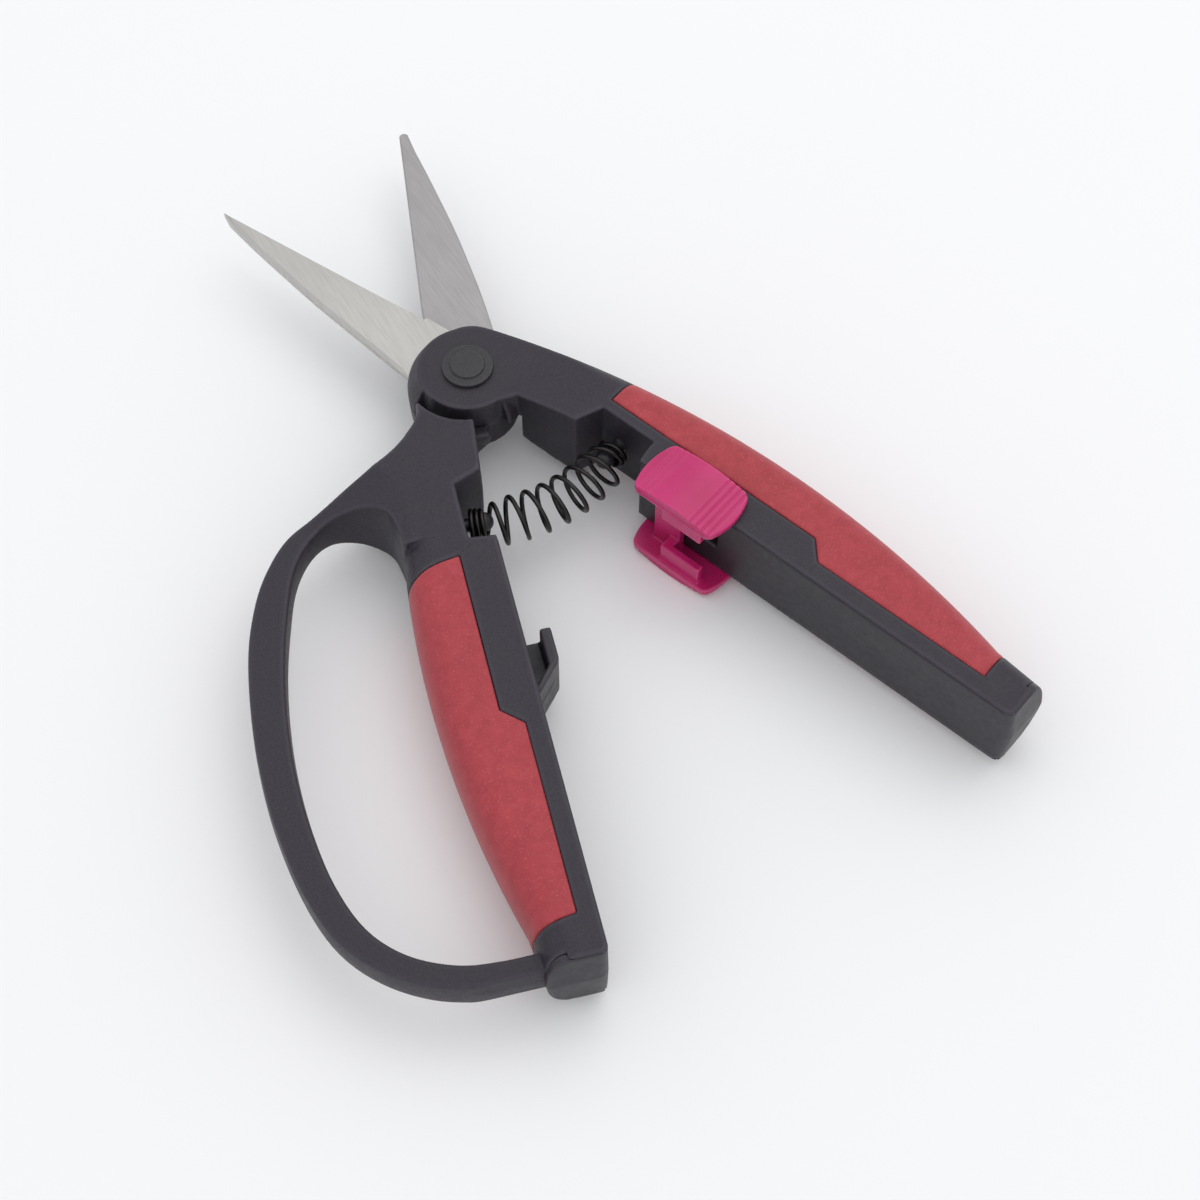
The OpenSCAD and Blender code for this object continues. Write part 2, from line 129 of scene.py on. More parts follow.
def box(x, y, z, x0, x1, y0, y1, z0, z1, r=0.0):
    fx = np.abs(x - (x0 + x1) / 2) - (x1 - x0) / 2
    fy = np.abs(y - (y0 + y1) / 2) - (y1 - y0) / 2
    fz = np.abs(z - (z0 + z1) / 2) - (z1 - z0) / 2
    return round_and(round_and(fx, fy, r), fz, r)


def net(field, low, high, step):
    """Mesh of a field's surface: one vertex in each grid cell it crosses, moved onto it."""
    low = np.array(low, float)
    axes = [np.arange(low[k], high[k] + step, step) for k in range(3)]
    shape = tuple(len(a) for a in axes)
    f = np.broadcast_to(
        field(axes[0][:, None, None], axes[1][None, :, None], axes[2][None, None, :]), shape
    ).astype(np.float32)
    inside = f < 0
    cells, points, rings = [], [], []
    for ax in range(3):
        first = [slice(None)] * 3
        second = [slice(None)] * 3
        first[ax], second[ax] = slice(0, -1), slice(1, None)
        near, far = inside[tuple(first)], inside[tuple(second)]
        at = np.argwhere(near != far)
        if not len(at):
            continue
        f0 = f[tuple(at.T)].astype(float)
        step_on = at.copy()
        step_on[:, ax] += 1
        f1 = f[tuple(step_on.T)].astype(float)
        p = at.astype(float)
        p[:, ax] += f0 / (f0 - f1)
        u, v = (ax + 1) % 3, (ax + 2) % 3
        ring = []
        for du, dv in ((-1, -1), (0, -1), (0, 0), (-1, 0)):
            c = at.copy()
            c[:, u] += du
            c[:, v] += dv
            ring.append(np.ravel_multi_index(tuple(c.T), shape))
            cells.append(ring[-1])
            points.append(p)
        ring = np.stack(ring, 1)
        outward = near[tuple(at.T)]
        ring[~outward] = ring[~outward][:, ::-1]
        rings.append(ring)
    cells = np.concatenate(cells)
    points = np.concatenate(points)
    used, index = np.unique(cells, return_inverse=True)
    count = np.bincount(index)
    verts = np.stack([np.bincount(index, points[:, k]) / count for k in range(3)], 1) * step + low
    faces = np.searchsorted(used, np.concatenate(rings))
    for _ in range(3):
        h = 0.03
        x, y, z = verts.T
        f0 = field(x, y, z)
        slope = np.stack([field(x + h, y, z) - f0, field(x, y + h, z) - f0,
                          field(x, y, z + h) - f0], 1) / h
        size = np.maximum((slope ** 2).sum(1), 0.2)
        verts = verts - slope * np.clip(f0 / size, -step / 2, step / 2)[:, None]
    return verts, faces


# ---- Making pieces ------------------------------------------------------------------

def place(verts, side):
    """From a half's own closed frame in millimetres to the row frame in metres."""
    x, y, z = np.array(verts, float).T
    angle = {"guard": -HALF_ANGLE, "plain": HALF_ANGLE, "middle": 0.0}[side]
    if side == "guard":
        x = -x
    c, s = math.cos(angle), math.sin(angle)
    return np.stack([c * x - s * y + PIVOT[0], s * x + c * y + PIVOT[1], z + PIVOT[2]], 1) * MM


def piece(name, verts, faces, side, body, stands_for, material, sharp=40):
    faces = [tuple(int(i) for i in f) for f in faces]
    if side == "guard":
        faces = [f[::-1] for f in faces]
    mesh = bpy.data.meshes.new(name)
    mesh.from_pydata([tuple(v) for v in place(verts, side)], [], faces)
    mesh.polygons.foreach_set("use_smooth", [True] * len(mesh.polygons))
    if sharp:
        mesh.set_sharp_from_angle(angle=math.radians(sharp))
    mesh.update()
    obj = bpy.data.objects.new(name, mesh)
    bpy.context.scene.collection.objects.link(obj)
    mesh.materials.append(material)
    if body:
        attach(obj, body)
    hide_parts(*stands_for)
    return obj


# ---- Materials ----------------------------------------------------------------------

class Nodes:
    """A short way to write a material's node tree."""

    def __init__(self, name):
        self.material = bpy.data.materials.new(name)
        self.material.use_nodes = True
        self.tree = self.material.node_tree
        self.shader = self.tree.nodes["Principled BSDF"]
        self.where = self.add("ShaderNodeTexCoord").outputs["Object"]

    def add(self, kind, inputs=None, **settings):
        node = self.tree.nodes.new(kind)
        for key, value in settings.items():
            setattr(node, key, value)
        for key, value in (inputs or {}).items():
            if isinstance(value, bpy.types.NodeSocket):
                self.tree.links.new(value, node.inputs[key])
            else:
                node.inputs[key].default_value = value
        return node

    def stretch(self, scale, turn=0.0):
        return self.add("ShaderNodeMapping", {"Vector": self.where, "Scale": scale,
                                              "Rotation": (0, 0, turn)}).outputs[0]

    def noise(self, scale, detail=2.0, rough=0.5, at=None):
        return self.add("ShaderNodeTexNoise", {"Vector": at or self.where, "Scale": scale,
                                               "Detail": detail, "Roughness": rough}).outputs[0]

    def spread(self, value, low, high, to_low=0.0, to_high=1.0):
        return self.add("ShaderNodeMapRange", {0: value, 1: low, 2: high, 3: to_low,
                                               4: to_high}).outputs[0]

    def mix(self, factor, a, b):
        node = self.add("ShaderNodeMix", data_type="RGBA")
        for socket, value in ((node.inputs[0], factor), (node.inputs[6], a), (node.inputs[7], b)):
            if isinstance(value, bpy.types.NodeSocket):
                self.tree.links.new(value, socket)
            else:
                socket.default_value = value if socket.type == "VALUE" else (*value, 1)
        return node.outputs[2]

    def math(self, operation, a, b=0.0):
        return self.add("ShaderNodeMath", {0: a, 1: b}, operation=operation).outputs[0]

    def edge_highlight_mask(self, low=0.505, high=0.56):
        """1 on convex edges: the mask of a painted highlight."""
        point = self.add("ShaderNodeNewGeometry").outputs["Pointiness"]
        return self.spread(point, low, high)

    def set(self, **values):
        for key, value in values.items():
            socket = self.shader.inputs[key.replace("_", " ")]
            if isinstance(value, bpy.types.NodeSocket):
                self.tree.links.new(value, socket)
            else:
                socket.default_value = (*value, 1) if isinstance(value, tuple) else value

    def bump(self, height, strength, distance, under=None):
        inputs = {"Height": height, "Strength": strength, "Distance": distance}
        if under is not None:
            inputs["Normal"] = under
        return self.add("ShaderNodeBump", inputs).outputs[0]


def moulded(name, dark, light, grain, roughness, depth, edge_highlight_colour=None):
    """Moulded plastic with a fine spark-eroded grain, and convex edges painted lighter as a
    highlight.
    """
    n = Nodes(name)
    fine = n.noise(grain, 3, 0.6)
    broad = n.noise(140, 3, 0.5)
    speck = n.noise(grain * 0.45, 2, 0.5)
    colour = n.mix(n.spread(fine, 0.35, 0.68), dark, light)
    colour = n.mix(n.spread(broad, 0.3, 0.7, 0.0, 0.35), colour, light)
    # Painted highlight: convex edges are lightened towards this colour.
    if edge_highlight_colour:
        colour = n.mix(n.math("MULTIPLY", n.edge_highlight_mask(), 0.5), colour, edge_highlight_colour)
    rough = n.spread(n.math("ADD", speck, broad), 0.7, 1.3, roughness - 0.06, roughness + 0.07)
    n.set(Base_Color=colour, Roughness=rough, Specular_IOR_Level=0.44)
    under = n.bump(speck, 0.35, depth * 1.6)
    n.set(Normal=n.bump(fine, 0.6, depth, under))
    return n.material


def soft_touch(name):
    """Red thermoplastic rubber: matte, softly mottled, with fine pale specks."""
    n = Nodes(name)
    fine = n.noise(2600, 3, 0.65)
    mottled = n.noise(420, 4, 0.6)
    broad = n.noise(60, 2, 0.5)
    colour = n.mix(n.spread(mottled, 0.36, 0.66), (0.36, 0.032, 0.043), (0.43, 0.045, 0.056))
    colour = n.mix(n.spread(broad, 0.35, 0.65, 0.0, 0.3), colour, (0.34, 0.030, 0.042))
    colour = n.mix(n.spread(fine, 0.55, 0.78, 0.0, 0.6), colour, (0.62, 0.16, 0.18))
    n.set(Base_Color=colour, Roughness=n.spread(fine, 0.3, 0.7, 0.50, 0.68),
          Specular_IOR_Level=0.42, Sheen_Weight=0.12, Sheen_Roughness=0.45)
    under = n.bump(mottled, 0.25, 0.00008)
    n.set(Normal=n.bump(fine, 0.55, 0.00005, under))
    return n.material


def ground_steel(name, colour, turn, along, fine=0.0):
    """Steel with grinding lines; turn is their direction, along how far they stretch."""
    n = Nodes(name)
    lines = n.noise(1.0, 3, 0.65, n.stretch((5200, along, 900), turn))
    scratches = n.noise(1.0, 2, 0.5, n.stretch((1500, along * 0.5, 400), turn + 0.05))
    cloud = n.noise(90, 3, 0.5)
    low = tuple(c * 0.86 for c in colour)
    high = tuple(min(1, c * 1.10) for c in colour)
    shade = n.mix(n.spread(lines, 0.30, 0.70), low, high)
    shade = n.mix(n.spread(cloud, 0.35, 0.65, 0, 0.3), shade, low)
    n.set(Base_Color=shade, Metallic=1.0,
          Roughness=n.spread(scratches, 0.3, 0.7, 0.36, 0.48), Anisotropic=0.3)
    under = n.bump(scratches, 0.10, 0.00002)
    n.set(Normal=n.bump(lines, 0.20, 0.00001, under))
    return n.material


def plated_steel(name, colour, roughness):
    n = Nodes(name)
    turned = n.noise(1.0, 2, 0.5, n.stretch((900, 900, 6000)))
    spots = n.noise(900, 3, 0.6)
    shade = n.mix(n.spread(spots, 0.3, 0.7), tuple(c * 0.85 for c in colour), colour)
    n.set(Base_Color=shade, Metallic=1.0,
          Roughness=n.spread(turned, 0.3, 0.7, roughness - 0.06, roughness + 0.08))
    n.set(Normal=n.bump(turned, 0.15, 0.00001))
    return n.material


def lock_plastic(name):
    """Semi-gloss magenta plastic."""
    n = Nodes(name)
    fine = n.noise(1800, 3, 0.6)
    broad = n.noise(120, 3, 0.5)
    colour = n.mix(n.spread(broad, 0.3, 0.7), (0.49, 0.010, 0.115), (0.56, 0.016, 0.150))
    # Painted highlight: convex edges are lightened towards a pale magenta.
    colour = n.mix(n.math("MULTIPLY", n.edge_highlight_mask(), 0.35), colour, (0.80, 0.10, 0.30))
    n.set(Base_Color=colour, Roughness=n.spread(fine, 0.3, 0.7, 0.26, 0.38),
          Specular_IOR_Level=0.5, Subsurface_Weight=0.08, Subsurface_Scale=0.001)
    n.set(Normal=n.bump(fine, 0.18, 0.00003))
    return n.material


# The last colour given to moulded() is its painted edge highlight.
core_plastic = moulded("grained_black_plastic", (0.013, 0.011, 0.017), (0.031, 0.026, 0.037),
                       2300, 0.50, 0.00005, (0.070, 0.064, 0.078))
liner_plastic = moulded("smooth_black_plastic", (0.015, 0.013, 0.018), (0.027, 0.023, 0.031),
                        1500, 0.44, 0.00003, (0.068, 0.062, 0.075))
cap_plastic = moulded("cap_black_plastic", (0.020, 0.018, 0.021), (0.036, 0.033, 0.037),
                      1800, 0.42, 0.00003, (0.08, 0.075, 0.085))
post_plastic = moulded("post_black_plastic", (0.018, 0.017, 0.019), (0.032, 0.030, 0.033),
                       1800, 0.40, 0.00003)
grip_rubber = soft_touch("red_soft_grip")
upper_steel = ground_steel("blade_steel_lengthwise", (0.535, 0.525, 0.50), HALF_ANGLE, 120)
lower_steel = ground_steel("blade_steel_crosswise", (0.395, 0.378, 0.378),
                           math.pi / 2 - HALF_ANGLE, 160)
pivot_steel = plated_steel("pivot_plated_steel", (0.56, 0.55, 0.52), 0.30)
pin_steel = plated_steel("pin_turned_steel", (0.50, 0.49, 0.47), 0.34)
wire_steel = plated_steel("blackened_wire", (0.050, 0.046, 0.046), 0.36)
washer_steel = plated_steel("blackened_washer", (0.070, 0.066, 0.066), 0.38)
lock_magenta = lock_plastic("magenta_lock_plastic")


# ---- Handle body --------------------------------------------------------------------

# The curved back: its radius and where it reaches furthest. It runs straight past the bend.
BACK_R, BACK_X, BACK_Y = 226.0, 24.4, -69.0
BUTT_BEND, BUTT_BACK, BUTT_SLOPE = -127.0, 16.83, 0.105
NOSE_D = 6.5           # depth of the rounding at the back
NOSE_POWER = 2.3       # and its squareness
INNER_X = 3.5
BODY_START = -26.0
BUTT = -138.8
BUTT_DRAFT = 0.8       # how far the butt's two faces fall back from its middle line
LINER_X = 5.3
LINER_T = 1.8
LINER_START = -44.6
LIP = 0.7              # the core laps over the liner by this much at top and bottom
GRIP_T = 1.6
HEAD_H = 7.2           # half thickness of the head
HEAD_R = 13.2          # radius of a head plate where the halves meet
PLATE_R = 10.7         # and at its outer face
LAP_R = 13.6
MEET_Z = 0.1           # each half stops this far from the middle plane
SEAM_R = 0.22          # rounding of the core's edges beside a seam
LINER_ROOM, LINER_GAP = 0.04, 0.02
GRIP_ROOM, GRIP_GAP = 0.03, 0.04


def nose(x, y, z, shrink=0.0):
    """The handle's curved back, with its D section; shrink moves it inward."""
    curved = np.hypot(x - (BACK_X - BACK_R), y - BACK_Y) - BACK_R
    straight = (x - BUTT_BACK - BUTT_SLOPE * (y - BUTT_BEND)) / math.hypot(1, BUTT_SLOPE)
    out = curved + (straight - curved) * ramp((BUTT_BEND + 1 - y) / 2)
    half = HALF_T - shrink
    power = NOSE_POWER
    u = np.maximum(out + shrink + NOSE_D, 0) / NOSE_D
    v = np.abs(z) / half
    g = (u ** power + v ** power) ** (1 / power) + 1e-9
    slope = np.hypot((u / g) ** (power - 1) / NOSE_D, (v / g) ** (power - 1) / half)
    return (g - 1) / np.maximum(slope, 0.05)


def butt_face(y, z, inset=0.0):
    """Inside is short of the butt, whose two faces meet in a line at mid height."""
    return BUTT + inset + BUTT_DRAFT * np.abs(z) / HALF_T - y


def head_height(y):
    """Half thickness of a half: thin at the head, thick from the neck on."""
    return HEAD_H + (HALF_T - HEAD_H) * ramp((-9 - y) / 19)


def handle(x, y, z):
    """The handle body from the neck to the butt, whose inner corner is rounded in plan."""
    body = round_and(nose(x, y, z), INNER_X - x, 0.4)
    body = round_and(body, butt_face(y, z), 0.5)
    body = np.maximum(body, round_and(INNER_X - x, butt_face(y, z), 2.0))
    return round_and(body, y - BODY_START, 0.3)


def liner_region(x, y, z, gap=0.0):
    """Down the inner side and across the butt."""
    panel = np.minimum(x - LINER_X, -butt_face(y, z, LINER_T))
    region = np.maximum(np.maximum(panel, y - LINER_START), np.abs(z) - (HALF_T - LIP))
    return region + gap


def grip_region(plan, x, y, z, gap=0.0):
    """The outer skin of the back, inside the grip's outline seen from above."""
    skin = np.maximum(-nose(x, y, z, GRIP_T), nose(x, y, z) - 0.6)
    return np.maximum(polygon(plan, x, y), skin) + gap


plain_grip_plan = [(12, -30), (12, -83.7), (7.7, -87.6), (7.7, -128.7), (16, -128.4),
                   (40, -130.2), (40, -30)]
guard_grip_plan = [(12, -47.2), (12, -83.8), (7.7, -87.7), (7.6, -129), (14, -129.9),
                   (40, -133.5), (40, -51.5), (22, -49.4), (16, -47.8)]
pocket_plan = [(-8, -27.4), (3, -27.4), (9.35, -30), (9.35, -43.5), (3.4, -44.2), (-8, -44.2)]


def head_plate(x, y, z):
    """A round plate above the middle plane. Its sloped wall is stepped in by the shoulder."""
    r = np.hypot(x, y)
    wall = round_and(r - HEAD_R, (r - HEAD_R) * 0.887 + (z - 2.4) * 0.462, 0.8)
    plate = round_and(wall, z - HEAD_H, 0.3)
    start, end = math.radians(161), math.radians(262)
    step = np.maximum(PLATE_R - r, math.sin(start) * x - math.cos(start) * y)
    step = np.maximum(step, y * math.cos(end) - x * math.sin(end))
    return np.maximum(cut(plate, step, 0.2), MEET_Z - z)


def lap(x, y, z):
    """Room for the other half's head plate, below the middle plane."""
    return np.maximum(np.hypot(x, y) - LAP_R, z - MEET_Z)


def bores(x, y, z, r):
    """The pivot hole, and the cap's socket above it."""
    at = np.hypot(x, y)
    return np.minimum(at - r, np.maximum(at - 5.0, HEAD_H - 1.8 - z))


def hollowed(solid, grip_plan, x, y, z):
    """Takes out the spring's pocket and the seats of the liner and the grip."""
    pocket = np.maximum(polygon(pocket_plan, x, y) + 0.5, np.abs(z) - 12) - 0.5
    solid = cut(solid, pocket, 0.2)
    solid = cut(solid, liner_region(x, y, z, -LINER_ROOM), SEAM_R)
    return cut(solid, grip_region(grip_plan, x, y, z, -GRIP_ROOM), SEAM_R)


def grip_skin(plan, x, y, z):
    outer = round_and(nose(x, y, z), polygon(plan, x, y) + GRIP_GAP, 0.45)
    return round_and(outer, -nose(x, y, z, GRIP_T), 0.1)


UPPER_BLADE = smooth([(-7.3, 7), (-7.1, 14), (-6.5, 22), (-5.9, 31), (-5.1, 41), (-4.0, 51),
                      (-2.7, 61.5), (-1.3, 70.5)]) + [(0, 73.5), (6.5, 19), (7.4, 18.6),
                                                      (8.3, 8)]
LOWER_BLADE = smooth([(-8.5, 7), (-8.5, 15), (-8.2, 23), (-7.6, 31), (-6.4, 43), (-4.2, 58),
                      (-2.4, 68.5)]) + [
    (-0.8 + 1.05 * math.cos(math.radians(a)), 73.3 + 1.05 * math.sin(math.radians(a)))
    for a in range(190, 0, -20)] + [(5.5, 24), (5.8, 20), (7.6, 18.2), (8.3, 8)]
# The hidden end of both blades, round the pivot and down to the pins
TANG = [(8.6, 0), (12.4, -12), (13.6, -24.8), (5.6, -24.8), (3, -14)] + [
    (8.6 * math.cos(math.radians(a)), 8.6 * math.sin(math.radians(a)))
    for a in range(280, 180, -10)]


def blade_seat(plan, x, y, z):
    """The slot in the core that a blade lies in, a little deeper than the blade."""
    return np.maximum(polygon(plan + TANG, x, y), np.abs(z - 1.0) - 0.93)


# ---- Plain handle -------------------------------------------------------------------

INNER_EDGE = [(3.5, -42), (3, -27.4), (1.4, -12.9), (-2.2, -10.5), (0, 0)]
plain_neck = smooth([(3.5, 10.1), (8.4, 7.6), (11.8, 2.2), (13.9, -4), (15.7, -10.5), (17.2, -17),
                     (18.5, -23), (19.6, -28.5), (21, -36)]) + [(3.5, -45)] + INNER_EDGE


SLOT_Y = (-65.4, -50.3)    # where the lock's key runs


def plain_core(x, y, z):
    height = np.abs(z) - head_height(y)
    neck = round_and(polygon(plain_neck, x, y), height, 0.4)
    neck = round_and(neck, nose(x, y, z), 0.3)
    neck = cut(neck, lap(x, y, z), 0.2)
    solid = np.minimum(np.minimum(neck, handle(x, y, z)), head_plate(x, y, z))
    solid = hollowed(solid, plain_grip_plan, x, y, z)
    solid = cut(solid, blade_seat(UPPER_BLADE, x, y, z), 0)
    solid = cut(solid, bores(x, y, z, 3.05), 0)
    return cut(solid, box(x, y, z, 3, 7.6, *SLOT_Y, -3.6, 3.6), 0.1)


def liner_panel(x, y, z):
    return round_and(handle(x, y, z), liner_region(x, y, z, LINER_GAP), 0.28)


def plain_liner(x, y, z):
    return cut(liner_panel(x, y, z), box(x, y, z, 2, 12, *SLOT_Y, -2.2, 2.2, 0.2), 0.25)


def plain_grip(x, y, z):
    return grip_skin(plain_grip_plan, x, y, z)


# ---- Guard handle -------------------------------------------------------------------

guard_outside = [(0, 0), (13.2, 0), (12.8, -4.5)] + smooth([
    (12.7, -8.1), (14.9, -11.6), (19.4, -16.6), (24.9, -20.5), (32, -23.6), (38.8, -26.9),
    (45.2, -30.8), (50.2, -36.8), (54.2, -44.4), (57.6, -55.5), (59.5, -69.8), (60, -84),
    (59, -97.5), (56.3, -111), (52.1, -121.3), (45.5, -129), (37, -134.4), (28, -137.1),
    (20, -137.9), (12, -138)]) + [(7.5, -100), (3.5, -46)] + INNER_EDGE
loop_inside = smooth([
    (22.6, -42), (23.1, -37.8), (24.2, -33.3), (27.3, -30.6), (31.2, -29.4), (36.3, -30),
    (41.3, -33.8), (45.3, -40.3), (48.3, -50.2), (50.7, -60.8), (52.3, -73), (52.8, -85),
    (52.1, -97.4), (50, -109.5), (46, -119.8), (39.6, -126.8), (31, -131), (22.5, -132.2),
    (14, -132.2)]) + [(14, -42)]
GUARD_H = 3.7          # half thickness of the guard's bow
BOW_BULGE = 0.3


def guard_plan(x, y):
    return cut(polygon(guard_outside, x, y), polygon(loop_inside, x, y), 0)


def guard_core(x, y, z):
    """The guard's bow is thin, and thickens into the neck; its walls bulge a little."""
    neck_share = ramp((42.0 - x) / 23.0) * ramp((y + 62.0) / 16.0)
    half = GUARD_H + (HALF_T - GUARD_H) * neck_share
    half = np.minimum(half, head_height(y))
    bulge = BOW_BULGE * (1 - np.minimum(np.abs(z) / half, 1) ** 2)
    bow = round_and(guard_plan(x, y) - bulge + BOW_BULGE, np.abs(z) - half, 0.6 - 0.2 * neck_share)
    bow = cut(bow, lap(x, y, -z), 0.2)
    solid = round_or(handle(x, y, z), bow, 0.3)
    solid = np.minimum(solid, head_plate(x, y, -z))
    solid = hollowed(solid, guard_grip_plan, x, y, z)
    solid = cut(solid, blade_seat(LOWER_BLADE, x, y, -z), 0)
    return cut(solid, bores(x, y, -z, 3.0), 0)


def hook(x, y, z):
    """The lock's catch: a bar on a thin web, closed by a slanted wall at its butt end."""
    bar_in, root, half, slope, wall_t = -2.4, 4.2, 6.2, 1.2, 1.28
    back = (-73.5 - (x - bar_in) * slope - y) / math.hypot(1, slope)
    span = np.maximum(y + 65.8, back)
    bar = round_and(box(x, y, z, bar_in, 0, -90, -60, -half, half, 0.5), span, 0.5)
    wall = box(x, y, z, bar_in, root, -90, -60, -half, half, 0.5)
    wall = round_and(round_and(wall, back, 0.5), -back - wall_t, 0.2)
    web = round_and(box(x, y, z, -0.8, root, -90, -60, -0.9, 0.9, 0.1), span, 0.2)
    return round_or(np.minimum(bar, wall), web, 0.5)


def guard_liner(x, y, z):
    return round_or(liner_panel(x, y, z), hook(x, y, z), 0.4)


def guard_grip(x, y, z):
    bow = np.maximum(guard_plan(x, y) - 0.1, np.abs(z) - GUARD_H - 0.1)
    return cut(grip_skin(guard_grip_plan, x, y, z), bow, 0.1)


# ---- Lock ---------------------------------------------------------------------------

PAD_X0, PAD_X1, PAD_Y0, PAD_Y1 = -3.0, 10.6, -46.6, -69.2
PAD_CROWN = -57.9      # the pad is thickest here
PAD_Z0, PAD_Z1 = 10.0, 13.0
PAD_FALL = 1.7         # and thinner by this much at its ends
END_R = 15.0           # of the pad's bowed ends
RIB_HALF_W = 0.42
RIBS = ((-49.4, 0.14), (-50.9, 0.14), (-52.4, 0.12), (-62.8, 0.22), (-64.3, 0.30),
        (-65.8, 0.30), (-67.3, 0.28))      # place and depth
WEB_Y = (-57.2, -50.5)


def thumb_pad(x, y, z):
    """A pad with bowed ends, a smooth crown, a hollowed front and fine ribs across it."""
    mid_x = (PAD_X0 + PAD_X1) / 2
    plan = round_and(np.abs(x - mid_x) - (PAD_X1 - PAD_X0) / 2,
                     np.maximum(np.hypot(x - mid_x, y - (PAD_Y0 - END_R)) - END_R,
                                np.hypot(x - mid_x, y - (PAD_Y1 + END_R)) - END_R), 1.2)
    away = np.abs(y - PAD_CROWN) / ((PAD_Y0 - PAD_Y1) / 2)
    top = PAD_Z1 - PAD_FALL * away ** 1.8
    ribs = np.zeros(np.broadcast(x, y).shape)
    for at, deep in RIBS:
        ribs = ribs + deep * ramp(1 - np.abs(y - at) / RIB_HALF_W)
    pad = round_and(plan, (z - top + ribs) * 0.95, 0.35)
    pad = round_and(pad, PAD_Z0 - z, 0.2)
    hollow = np.hypot((x + 5.1) / 0.8, z - 11.7) - 2.9
    return round_and(pad, -np.maximum(hollow, np.abs(y - PAD_CROWN) - 9.5), 0.2)


def lock(x, y, z):
    """Two pads, the web between them, two tabs for the catch, and a key that runs in a slot."""
    pads = thumb_pad(x, y, np.abs(z))
    web = box(x, y, z, 1.4, 3.3, *WEB_Y, -10.4, 10.4, 0.25)
    tab = box(x, y, np.abs(z), -2.1, -0.4, -65.1, -53.0, 5.2, 10.4, 0.3)
    shoulder = box(x, y, np.abs(z), -2.1, 2.4, -57.2, -55.0, 5.2, 10.4, 0.3)
    key = box(x, y, z, 1.6, 7.2, *WEB_Y, -2.0, 2.0, 0.15)
    head = box(x, y, z, 5.5, 7.2, *WEB_Y, -3.4, 3.4, 0.2)
    solid = round_or(pads, web, 0.4)
    solid = round_or(solid, np.maximum(np.minimum(tab, shoulder), y + 55.0), 0.3)
    return np.minimum(solid, np.minimum(key, head))


# ---- Blades -------------------------------------------------------------------------

TANG_END_Y = 12         # edges nearer the pivot than this are hidden in the head
TANG_BEVEL = 0.12


def blade_mesh(outline, widths, z_flat, z_face, bevel):
    """A flat blade from z_flat to z_face, with bevels of the given widths along its face."""
    pts = [Vector(p) for p in outline + TANG]
    n = len(pts)
    area = sum(pts[i].x * pts[(i + 1) % n].y - pts[(i + 1) % n].x * pts[i].y for i in range(n))
    turn = 1 if area > 0 else -1
    inner = []
    for i in range(n):
        before = (pts[i] - pts[i - 1]).normalized()
        after = (pts[(i + 1) % n] - pts[i]).normalized()
        n0 = Vector((-before.y, before.x)) * turn
        n1 = Vector((-after.y, after.x)) * turn
        w0, w1 = widths(pts[i - 1], pts[i]), widths(pts[i], pts[(i + 1) % n])
        cross = n0.x * n1.y - n0.y * n1.x
        if abs(cross) < 0.05:
            inner.append(pts[i] + (n0 * w0 + n1 * w1) / 2)
        else:
            x = (w0 * n1.y - w1 * n0.y) / cross
            y = (n0.x * w1 - n1.x * w0) / cross
            inner.append(pts[i] + Vector((x, y)))
    up = 1 if z_face > z_flat else -1
    verts = ([(p.x, p.y, z_flat) for p in pts]
             + [(p.x, p.y, z_face - up * bevel) for p in pts]
             + [(p.x, p.y, z_face) for p in inner])
    faces = []
    for i in range(n):
        j = (i + 1) % n
        faces.append((i, j, n + j, n + i))
        faces.append((n + i, n + j, 2 * n + j, 2 * n + i))
    faces.append(tuple(range(n))[::-1])
    faces.append(tuple(range(2 * n, 3 * n)))
    mesh = bmesh.new()
    made = [mesh.verts.new(v) for v in verts]
    for f in faces:
        mesh.faces.new([made[i] for i in f])
    bmesh.ops.recalc_face_normals(mesh, faces=mesh.faces)
    bmesh.ops.triangulate(mesh, faces=[f for f in mesh.faces if len(f.verts) > 4])
    mesh.verts.index_update()
    out = [tuple(v.co) for v in mesh.verts], [tuple(v.index for v in f.verts) for f in mesh.faces]
    mesh.free()
    return out


def upper_widths(a, b):
    """Bevel width of the upper blade's edge from a to b: wide along its spine side."""
    middle = (a + b) / 2
    if middle.y < TANG_END_Y:
        return TANG_BEVEL
    return 0.85 if middle.x < 0 and middle.y < 72 else 0.28


def lower_widths(a, b):
    middle = (a + b) / 2
    if middle.y < TANG_END_Y:
        return TANG_BEVEL
    return 0.30 if middle.x < 0 else 0.35


# ---- Turned pieces ------------------------------------------------------------------

def lathe(profile, sides=72, axis="z"):
    """Turns (radius, height) points about an axis; ends at radius 0 close in a point."""
    verts, faces, rows = [], [], []
    for r, h in profile:
        if r < 1e-6:
            rows.append([len(verts)])
            verts.append((0, 0, h))
            continue
        rows.append(list(range(len(verts), len(verts) + sides)))
        for k in range(sides):
            a = 2 * math.pi * k / sides
            verts.append((r * math.cos(a), r * math.sin(a), h))
    for lower, upper in zip(rows, rows[1:]):
        for k in range(sides):
            m = (k + 1) % sides
            ring = [lower[k % len(lower)], lower[m % len(lower)],
                    upper[m % len(upper)], upper[k % len(upper)]]
            ring = list(dict.fromkeys(ring))
            if len(ring) > 2:
                faces.append(tuple(ring))
    if axis == "x":
        verts = [(z, x, y) for x, y, z in verts]
    return verts, faces


def rounded(points, r, steps=5):
    """A profile with its inner corners rounded to radius r."""
    p = [Vector(q) for q in points]
    out = [p[0]]
    for i in range(1, len(p) - 1):
        a, b = (p[i - 1] - p[i]), (p[i + 1] - p[i])
        reach = min(r, a.length * 0.45, b.length * 0.45)
        start, end = p[i] + a.normalized() * reach, p[i] + b.normalized() * reach
        for k in range(steps + 1):
            t = k / steps
            out.append(start * (1 - t) ** 2 + p[i] * 2 * t * (1 - t) + end * t * t)
    out.append(p[-1])
    return [(q.x, q.y) for q in out]


# ---- Build --------------------------------------------------------------------------

